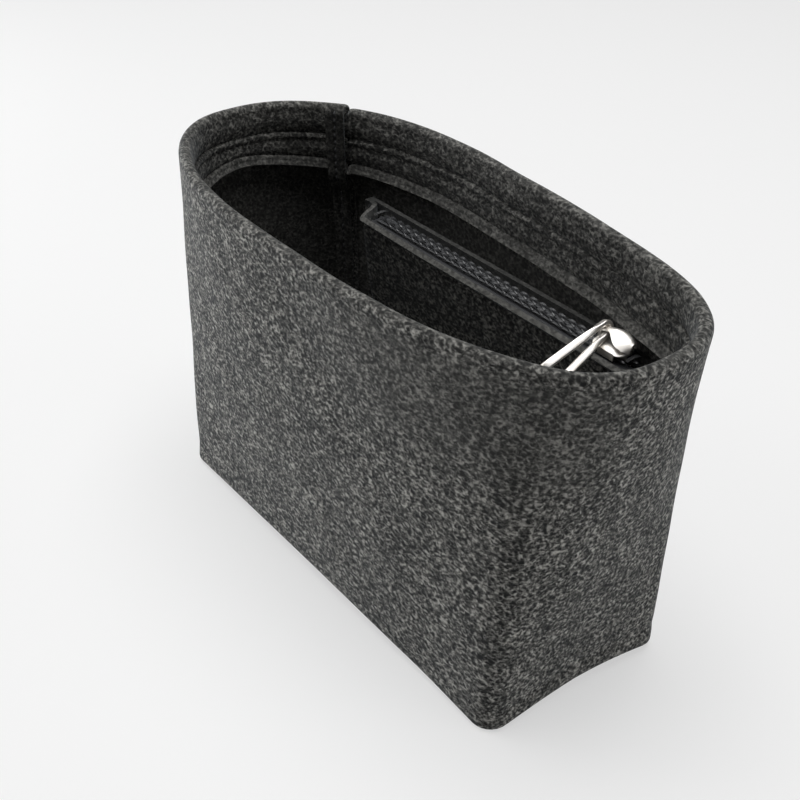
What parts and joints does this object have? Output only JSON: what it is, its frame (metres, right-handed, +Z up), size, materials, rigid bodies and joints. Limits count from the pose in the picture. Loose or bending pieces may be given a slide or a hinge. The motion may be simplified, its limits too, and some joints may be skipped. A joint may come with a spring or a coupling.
{
  "type": "purse organizer insert",
  "caption": "Open felt pouch with a folded hem and a flared oval mouth, with a zip pocket sewn inside its back wall, for holding small things tidy in a bag.",
  "frame": {"origin": "on the ground at the middle of the base panel, where the underside mount is", "axes": "+X along the pouch towards the end where the closed zip's slider stands, -Y the plain front, +Y the wall with the zip pocket, +Z up out of the mouth"},
  "size_m": [0.2384, 0.1056, 0.1414],
  "materials": {
    "felt": "matt pressed felt",
    "thread": "sewing thread",
    "tape": "woven tape",
    "coil": "smooth nylon",
    "metal": "polished plating"
  },
  "bodies": {
    "organizer": {"wall_panel": "felt", "base_panel": "felt", "pocket_front_panel": "felt", "pocket_back_panel": "felt", "hem_stitch_upper": "thread", "hem_stitch_lower": "thread", "wall_seam_stitch": "thread", "base_seam_stitch": "thread", "pocket_stitch_left": "thread", "pocket_stitch_right": "thread", "pocket_stitch_bottom": "thread", "zip_stitch_front": "thread", "zip_stitch_back": "thread", "zip_tack_left": "thread", "zip_tack_right": "thread", "zip_tape_front": "tape", "zip_tape_back": "tape", "zip_coil_front": "coil", "zip_coil_back": "coil"},
    "slider": {"slider_body": "metal", "slider_bridge": "metal"},
    "pull": {"pull_tab": "metal"}
  },
  "joints": [
    {"name": "slider_slide", "type": "slide", "parent": "organizer", "child": "slider", "axis": [-1, 0, 0], "range_m": [0, 0.119]},
    {"name": "pull_swing", "type": "hinge", "parent": "slider", "child": "pull", "pos_m": [0.0646, 0.03212, 0.1142], "axis": [-0.953, 0, -0.3031], "range_deg": [0, 112]}
  ]
}
